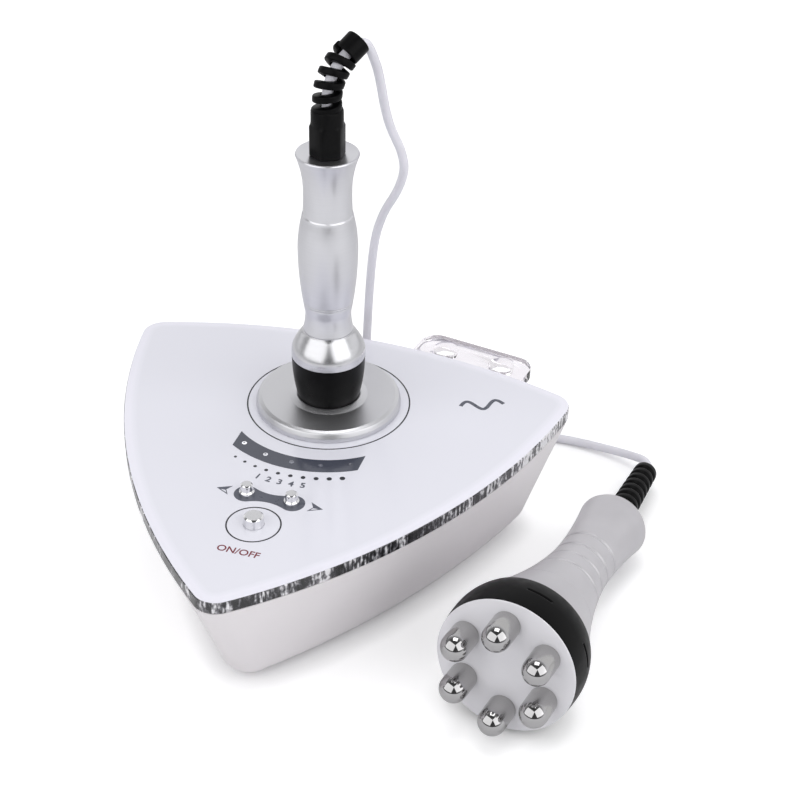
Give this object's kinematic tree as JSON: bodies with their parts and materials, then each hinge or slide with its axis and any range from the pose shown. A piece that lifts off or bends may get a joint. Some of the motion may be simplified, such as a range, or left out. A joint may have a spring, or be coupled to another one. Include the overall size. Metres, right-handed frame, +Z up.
{
  "type": "skin tightening device",
  "caption": "Triangular desktop skin tightening console with a metal wand standing in a round holder and a multi-pole handpiece lying beside it on its cord.",
  "frame": {"origin": "on the table, under the middle of the console, wand and handpiece taken together", "axes": "+Z up, -Y towards the console's front corner, +X towards the handpiece"},
  "size_m": [0.2681, 0.3027, 0.2602],
  "materials": {
    "case_white": "semi gloss",
    "clear_acrylic": "polished",
    "panel_white": "high gloss",
    "window_slate": "gloss",
    "spun_aluminium": "spun satin",
    "satin_aluminium": "bead blasted satin",
    "black_plastic": "satin",
    "black_rubber": "matt",
    "chrome": "polished",
    "steel": "plain",
    "brass": "plain",
    "copper": "enamelled wire",
    "board_green": "solder resist",
    "ferrite": "matt",
    "part_black": "matt",
    "sink_aluminium": "extruded",
    "lamp_clear": "moulded",
    "grip_silver": "silver satin",
    "face_white": "semi gloss",
    "cord_white": "smooth"
  },
  "bodies": {
    "console": {"lower_case": "case_white", "clear_plate": "clear_acrylic", "top_panel": "panel_white", "led_window": "window_slate", "holder_disc": "spun_aluminium", "holder_nut": "steel", "control_board": "board_green", "board_standoffs": "brass", "board_screws": "steel", "push_switches": "part_black", "indicator_lamps": "lamp_clear", "main_board": "board_green", "main_board_screws": "steel", "transformer_core": "ferrite", "transformer_winding": "copper", "heat_sink": "sink_aluminium", "power_transistor": "part_black", "power_inlet": "part_black", "wand_socket": "steel", "hand_socket": "steel", "socket_nuts": "steel", "rubber_feet": "black_rubber", "case_screws": "steel", "plate_inserts": "brass", "wand_plug": "black_plastic", "hand_plug": "black_plastic", "wand_cord": "cord_white", "wand_cord_coil": "cord_white", "wand_cord_lead": "cord_white", "wand_cord_tie": "black_rubber", "hand_cord": "cord_white", "hand_cord_coil": "cord_white", "hand_cord_lead": "cord_white", "hand_cord_tie": "black_rubber"},
    "wand": {"wand_tip": "satin_aluminium", "wand_collar": "black_plastic", "wand_shoulder": "satin_aluminium", "wand_handle": "satin_aluminium", "wand_core_rod": "steel", "gland_body": "black_plastic", "spiral_guard": "black_rubber", "guard_cap": "black_rubber", "guard_cord": "cord_white"},
    "handpiece": {"face_plate": "face_white", "bumper_ring": "black_rubber", "grip_shell": "grip_silver", "pole_carrier": "part_black", "strain_relief": "black_rubber", "pole_1": "chrome", "pole_2": "chrome", "pole_3": "chrome", "pole_4": "chrome", "pole_5": "chrome", "pole_6": "chrome"},
    "power_button": {"power_button": "chrome"},
    "minus_button": {"minus_button": "chrome"},
    "plus_button": {"plus_button": "chrome"},
    "wand_plug_sleeve": {"wand_plug_sleeve": "steel"},
    "hand_plug_sleeve": {"hand_plug_sleeve": "steel"}
  },
  "joints": [
    {"name": "power_press", "type": "slide", "parent": "console", "child": "power_button", "axis": [0, 0, -1], "range_m": [0, 0.0015], "stiffness_N_per_m": 900},
    {"name": "minus_press", "type": "slide", "parent": "console", "child": "minus_button", "axis": [0, 0, -1], "range_m": [0, 0.001], "stiffness_N_per_m": 900},
    {"name": "plus_press", "type": "slide", "parent": "console", "child": "plus_button", "axis": [0, 0, -1], "range_m": [0, 0.001], "stiffness_N_per_m": 900},
    {"name": "wand_lift", "type": "slide", "parent": "console", "child": "wand", "axis": [0, 0, 1], "range_m": [0, 0.08], "deforming": ["wand_cord"]},
    {"name": "handpiece_lift", "type": "slide", "parent": "console", "child": "handpiece", "axis": [0, 0, 1], "range_m": [0, 0.06], "deforming": ["hand_cord"]},
    {"name": "wand_sleeve_turn", "type": "hinge", "parent": "console", "child": "wand_plug_sleeve", "pos_m": [-0.056, 0.1, 0.018], "axis": [0, 1, 0], "continuous": true},
    {"name": "hand_sleeve_turn", "type": "hinge", "parent": "console", "child": "hand_plug_sleeve", "pos_m": [0.012, 0.1, 0.018], "axis": [0, 1, 0], "continuous": true}
  ]
}
